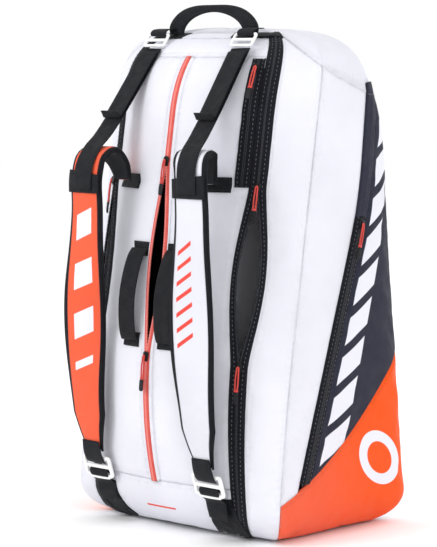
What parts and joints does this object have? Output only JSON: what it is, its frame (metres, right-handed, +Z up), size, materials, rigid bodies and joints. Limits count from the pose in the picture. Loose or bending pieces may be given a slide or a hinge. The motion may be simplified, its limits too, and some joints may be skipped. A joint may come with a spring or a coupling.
{
  "type": "racket backpack",
  "caption": "Tall three-compartment racket bag with long front zips, padded shoulder straps, webbing grab and carry handles, and side pockets.",
  "frame": {"origin": "middle of the flat base, on the surface that the bag stands on", "axes": "+Z up along the bag, the strap face looks to -Y, +X runs across the compartments to the right of someone facing the strap face"},
  "size_m": [0.4454, 0.4043, 0.7876],
  "materials": {
    "white_fabric": "coated polyester weave, cool white",
    "navy_fabric": "coated polyester weave, charcoal navy",
    "orange_fabric": "coated polyester, coral to orange",
    "base_fabric": "heavy coated polyester, dark",
    "lining": "black padded lining",
    "webbing": "black ribbed polypropylene webbing",
    "black_zip_tape": "black woven zip tape with coil",
    "red_zip_tape": "coral red piping and tape",
    "slider_metal": "black lacquered zip slider",
    "puller_cord": "red braided cord with a black moulded tab",
    "white_plastic": "white moulded acetal"
  },
  "bodies": {
    "bag": {"back_panel": "white_fabric", "base_panel": "base_fabric", "centre_panel_left": "white_fabric", "centre_panel_right": "white_fabric", "centre_zip": "red_zip_tape", "corner_panel_left": "orange_fabric", "corner_panel_right": "orange_fabric", "divider_left": "lining", "divider_right": "lining", "gusset_left": "white_fabric", "gusset_right": "white_fabric", "load_lifter_left": "webbing", "load_lifter_right": "webbing", "lower_webbing_left": "webbing", "lower_webbing_right": "webbing", "lower_yoke": "white_fabric", "main_zip_left": "black_zip_tape", "main_zip_right": "black_zip_tape", "pocket_zip": "black_zip_tape", "side_panel_left": "white_fabric", "side_panel_right": "white_fabric", "side_pocket_left": "navy_fabric", "side_pocket_right": "navy_fabric", "side_zip_left": "black_zip_tape", "side_zip_right": "black_zip_tape", "strap_anchor_left": "webbing", "strap_anchor_right": "webbing", "top_binding": "webbing", "top_panel": "white_fabric", "top_yoke": "white_fabric"},
    "centre_upper_slider": {"centre_upper_slider": "slider_metal"},
    "centre_upper_puller": {"centre_upper_puller": "puller_cord"},
    "centre_lower_slider": {"centre_lower_slider": "slider_metal"},
    "centre_lower_puller": {"centre_lower_puller": "puller_cord"},
    "main_left_upper_slider": {"main_left_upper_slider": "slider_metal"},
    "main_left_upper_puller": {"main_left_upper_puller": "puller_cord"},
    "main_left_lower_slider": {"main_left_lower_slider": "slider_metal"},
    "main_left_lower_puller": {"main_left_lower_puller": "puller_cord"},
    "main_right_upper_slider": {"main_right_upper_slider": "slider_metal"},
    "main_right_upper_puller": {"main_right_upper_puller": "puller_cord"},
    "main_right_lower_slider": {"main_right_lower_slider": "slider_metal"},
    "main_right_lower_puller": {"main_right_lower_puller": "puller_cord"},
    "side_left_slider": {"side_left_slider": "slider_metal"},
    "side_left_puller": {"side_left_puller": "puller_cord"},
    "side_right_slider": {"side_right_slider": "slider_metal"},
    "side_right_puller": {"side_right_puller": "puller_cord"},
    "pocket_slider": {"pocket_slider": "slider_metal"},
    "pocket_puller": {"pocket_puller": "puller_cord"},
    "top_handle": {"top_handle": "webbing"},
    "carry_handle_left": {"carry_handle_left": "webbing"},
    "shoulder_strap_left": {"shoulder_pad_left": "orange_fabric"},
    "lower_buckle_left": {"lower_buckle_left": "white_plastic"},
    "top_buckle_left": {"top_buckle_left": "white_plastic"},
    "lifter_tail_left": {"lifter_tail_left": "webbing"},
    "carry_handle_right": {"carry_handle_right": "webbing"},
    "shoulder_strap_right": {"shoulder_pad_right": "white_fabric"},
    "lower_buckle_right": {"lower_buckle_right": "white_plastic"},
    "top_buckle_right": {"top_buckle_right": "white_plastic"},
    "lifter_tail_right": {"lifter_tail_right": "webbing"}
  },
  "joints": [
    {"name": "centre_upper_zip_travel", "type": "slide", "parent": "bag", "child": "centre_upper_slider", "axis": [0, 0.1527, 0.9883], "range_m": [-0.12, 0.085]},
    {"name": "centre_upper_puller_swing", "type": "hinge", "parent": "centre_upper_slider", "child": "centre_upper_puller", "pos_m": [0, -0.13796, 0.558], "axis": [-1, -0.0004, 0.0001], "range_deg": [0, 150]},
    {"name": "centre_lower_zip_travel", "type": "hinge", "parent": "bag", "child": "centre_lower_slider", "pos_m": [0, 0.3725, 0.216], "axis": [1, 0, 0], "range_deg": [-3, 16]},
    {"name": "centre_lower_puller_swing", "type": "hinge", "parent": "centre_lower_slider", "child": "centre_lower_puller", "pos_m": [0, -0.18151, 0.27065], "axis": [-1, -0.0004, 0], "range_deg": [0, 150]},
    {"name": "main_left_upper_zip_travel", "type": "slide", "parent": "bag", "child": "main_left_upper_slider", "axis": [0, 0.1527, 0.9883], "range_m": [-0.1, 0.1]},
    {"name": "main_left_upper_puller_swing", "type": "hinge", "parent": "main_left_upper_slider", "child": "main_left_upper_puller", "pos_m": [-0.15321, -0.10118, 0.52288], "axis": [-0.8781, 0.4728, -0.0731], "range_deg": [0, 150]},
    {"name": "main_left_lower_zip_travel", "type": "hinge", "parent": "bag", "child": "main_left_lower_slider", "pos_m": [-0.15, 0.793, 0.1566], "axis": [1, 0, 0], "range_deg": [-1.5, 9]},
    {"name": "main_left_lower_puller_swing", "type": "hinge", "parent": "main_left_lower_slider", "child": "main_left_lower_puller", "pos_m": [-0.15318, -0.14061, 0.26265], "axis": [-0.88, 0.4719, -0.0535], "range_deg": [0, 150]},
    {"name": "main_right_upper_zip_travel", "type": "slide", "parent": "bag", "child": "main_right_upper_slider", "axis": [0, 0.1527, 0.9883], "range_m": [-0.1, 0.1]},
    {"name": "main_right_upper_puller_swing", "type": "hinge", "parent": "main_right_upper_slider", "child": "main_right_upper_puller", "pos_m": [0.15321, -0.10118, 0.52287], "axis": [-0.8779, -0.4733, 0.0732], "range_deg": [0, 150]},
    {"name": "main_right_lower_zip_travel", "type": "hinge", "parent": "bag", "child": "main_right_lower_slider", "pos_m": [0.15, 0.793, 0.1566], "axis": [1, 0, 0], "range_deg": [-1.5, 9]},
    {"name": "main_right_lower_puller_swing", "type": "hinge", "parent": "main_right_lower_slider", "child": "main_right_lower_puller", "pos_m": [0.15319, -0.1406, 0.26265], "axis": [-0.8797, -0.4724, 0.0536], "range_deg": [0, 150]},
    {"name": "side_left_zip_travel", "type": "slide", "parent": "bag", "child": "side_left_slider", "axis": [0, -0.3031, -0.953], "range_m": [0, 0.34]},
    {"name": "side_left_puller_swing", "type": "hinge", "parent": "side_left_slider", "child": "side_left_puller", "pos_m": [-0.2217, 0.05789, 0.46393], "axis": [0, 0.9674, -0.2534], "range_deg": [0, 150]},
    {"name": "side_right_zip_travel", "type": "slide", "parent": "bag", "child": "side_right_slider", "axis": [0, -0.3031, -0.953], "range_m": [0, 0.34]},
    {"name": "side_right_puller_swing", "type": "hinge", "parent": "side_right_slider", "child": "side_right_puller", "pos_m": [0.2217, 0.05789, 0.46393], "axis": [0, -0.9674, 0.2534], "range_deg": [0, 150]},
    {"name": "pocket_zip_travel", "type": "hinge", "parent": "bag", "child": "pocket_slider", "pos_m": [0.05937, 0.13815, 0.59143], "axis": [0.9586, 0.28, -0.0523], "range_deg": [0, 17.3]},
    {"name": "pocket_puller_swing", "type": "hinge", "parent": "pocket_slider", "child": "pocket_puller", "pos_m": [0.12948, -0.07934, 0.69631], "axis": [-0.9281, -0.367, 0.0626], "range_deg": [0, 150]},
    {"name": "top_handle_tilt", "type": "hinge", "parent": "bag", "child": "top_handle", "pos_m": [0, -0.033, 0.7515], "axis": [1, 0, 0], "range_deg": [-40, 70], "stiffness_Nm_per_rad": 0.06},
    {"name": "carry_handle_left_sway", "type": "hinge", "parent": "bag", "child": "carry_handle_left", "pos_m": [-0.037, -0.1547, 0.425], "axis": [0, 0.1521, 0.9884], "range_deg": [-8, 8], "stiffness_Nm_per_rad": 0.03},
    {"name": "shoulder_strap_left_sway", "type": "hinge", "parent": "bag", "child": "shoulder_strap_left", "pos_m": [-0.09, -0.135, 0.524], "axis": [-0.0655, -0.0849, -0.9942], "range_deg": [-9, 9], "stiffness_Nm_per_rad": 0.4},
    {"name": "lower_buckle_left_tilt", "type": "hinge", "parent": "shoulder_strap_left", "child": "lower_buckle_left", "pos_m": [-0.117, -0.1697, 0.105], "axis": [1, 0, 0], "range_deg": [-25, 0]},
    {"name": "top_buckle_left_tilt", "type": "hinge", "parent": "bag", "child": "top_buckle_left", "pos_m": [-0.091, -0.0552, 0.7468], "axis": [1, 0, 0], "range_deg": [-30, 0]},
    {"name": "lifter_tail_left_swing", "type": "hinge", "parent": "bag", "child": "lifter_tail_left", "pos_m": [-0.092, -0.077, 0.719], "axis": [-1, 0, 0], "range_deg": [0, 100]},
    {"name": "carry_handle_right_sway", "type": "hinge", "parent": "bag", "child": "carry_handle_right", "pos_m": [0.037, -0.1547, 0.425], "axis": [0, 0.1521, 0.9884], "range_deg": [-8, 8], "stiffness_Nm_per_rad": 0.03},
    {"name": "shoulder_strap_right_sway", "type": "hinge", "parent": "bag", "child": "shoulder_strap_right", "pos_m": [0.09, -0.135, 0.524], "axis": [0.0655, -0.0849, -0.9942], "range_deg": [-9, 9], "stiffness_Nm_per_rad": 0.4},
    {"name": "lower_buckle_right_tilt", "type": "hinge", "parent": "shoulder_strap_right", "child": "lower_buckle_right", "pos_m": [0.117, -0.1697, 0.105], "axis": [1, 0, 0], "range_deg": [-25, 0]},
    {"name": "top_buckle_right_tilt", "type": "hinge", "parent": "bag", "child": "top_buckle_right", "pos_m": [0.091, -0.0552, 0.7468], "axis": [1, 0, 0], "range_deg": [-30, 0]},
    {"name": "lifter_tail_right_swing", "type": "hinge", "parent": "bag", "child": "lifter_tail_right", "pos_m": [0.092, -0.077, 0.719], "axis": [-1, 0, 0], "range_deg": [0, 100]}
  ]
}
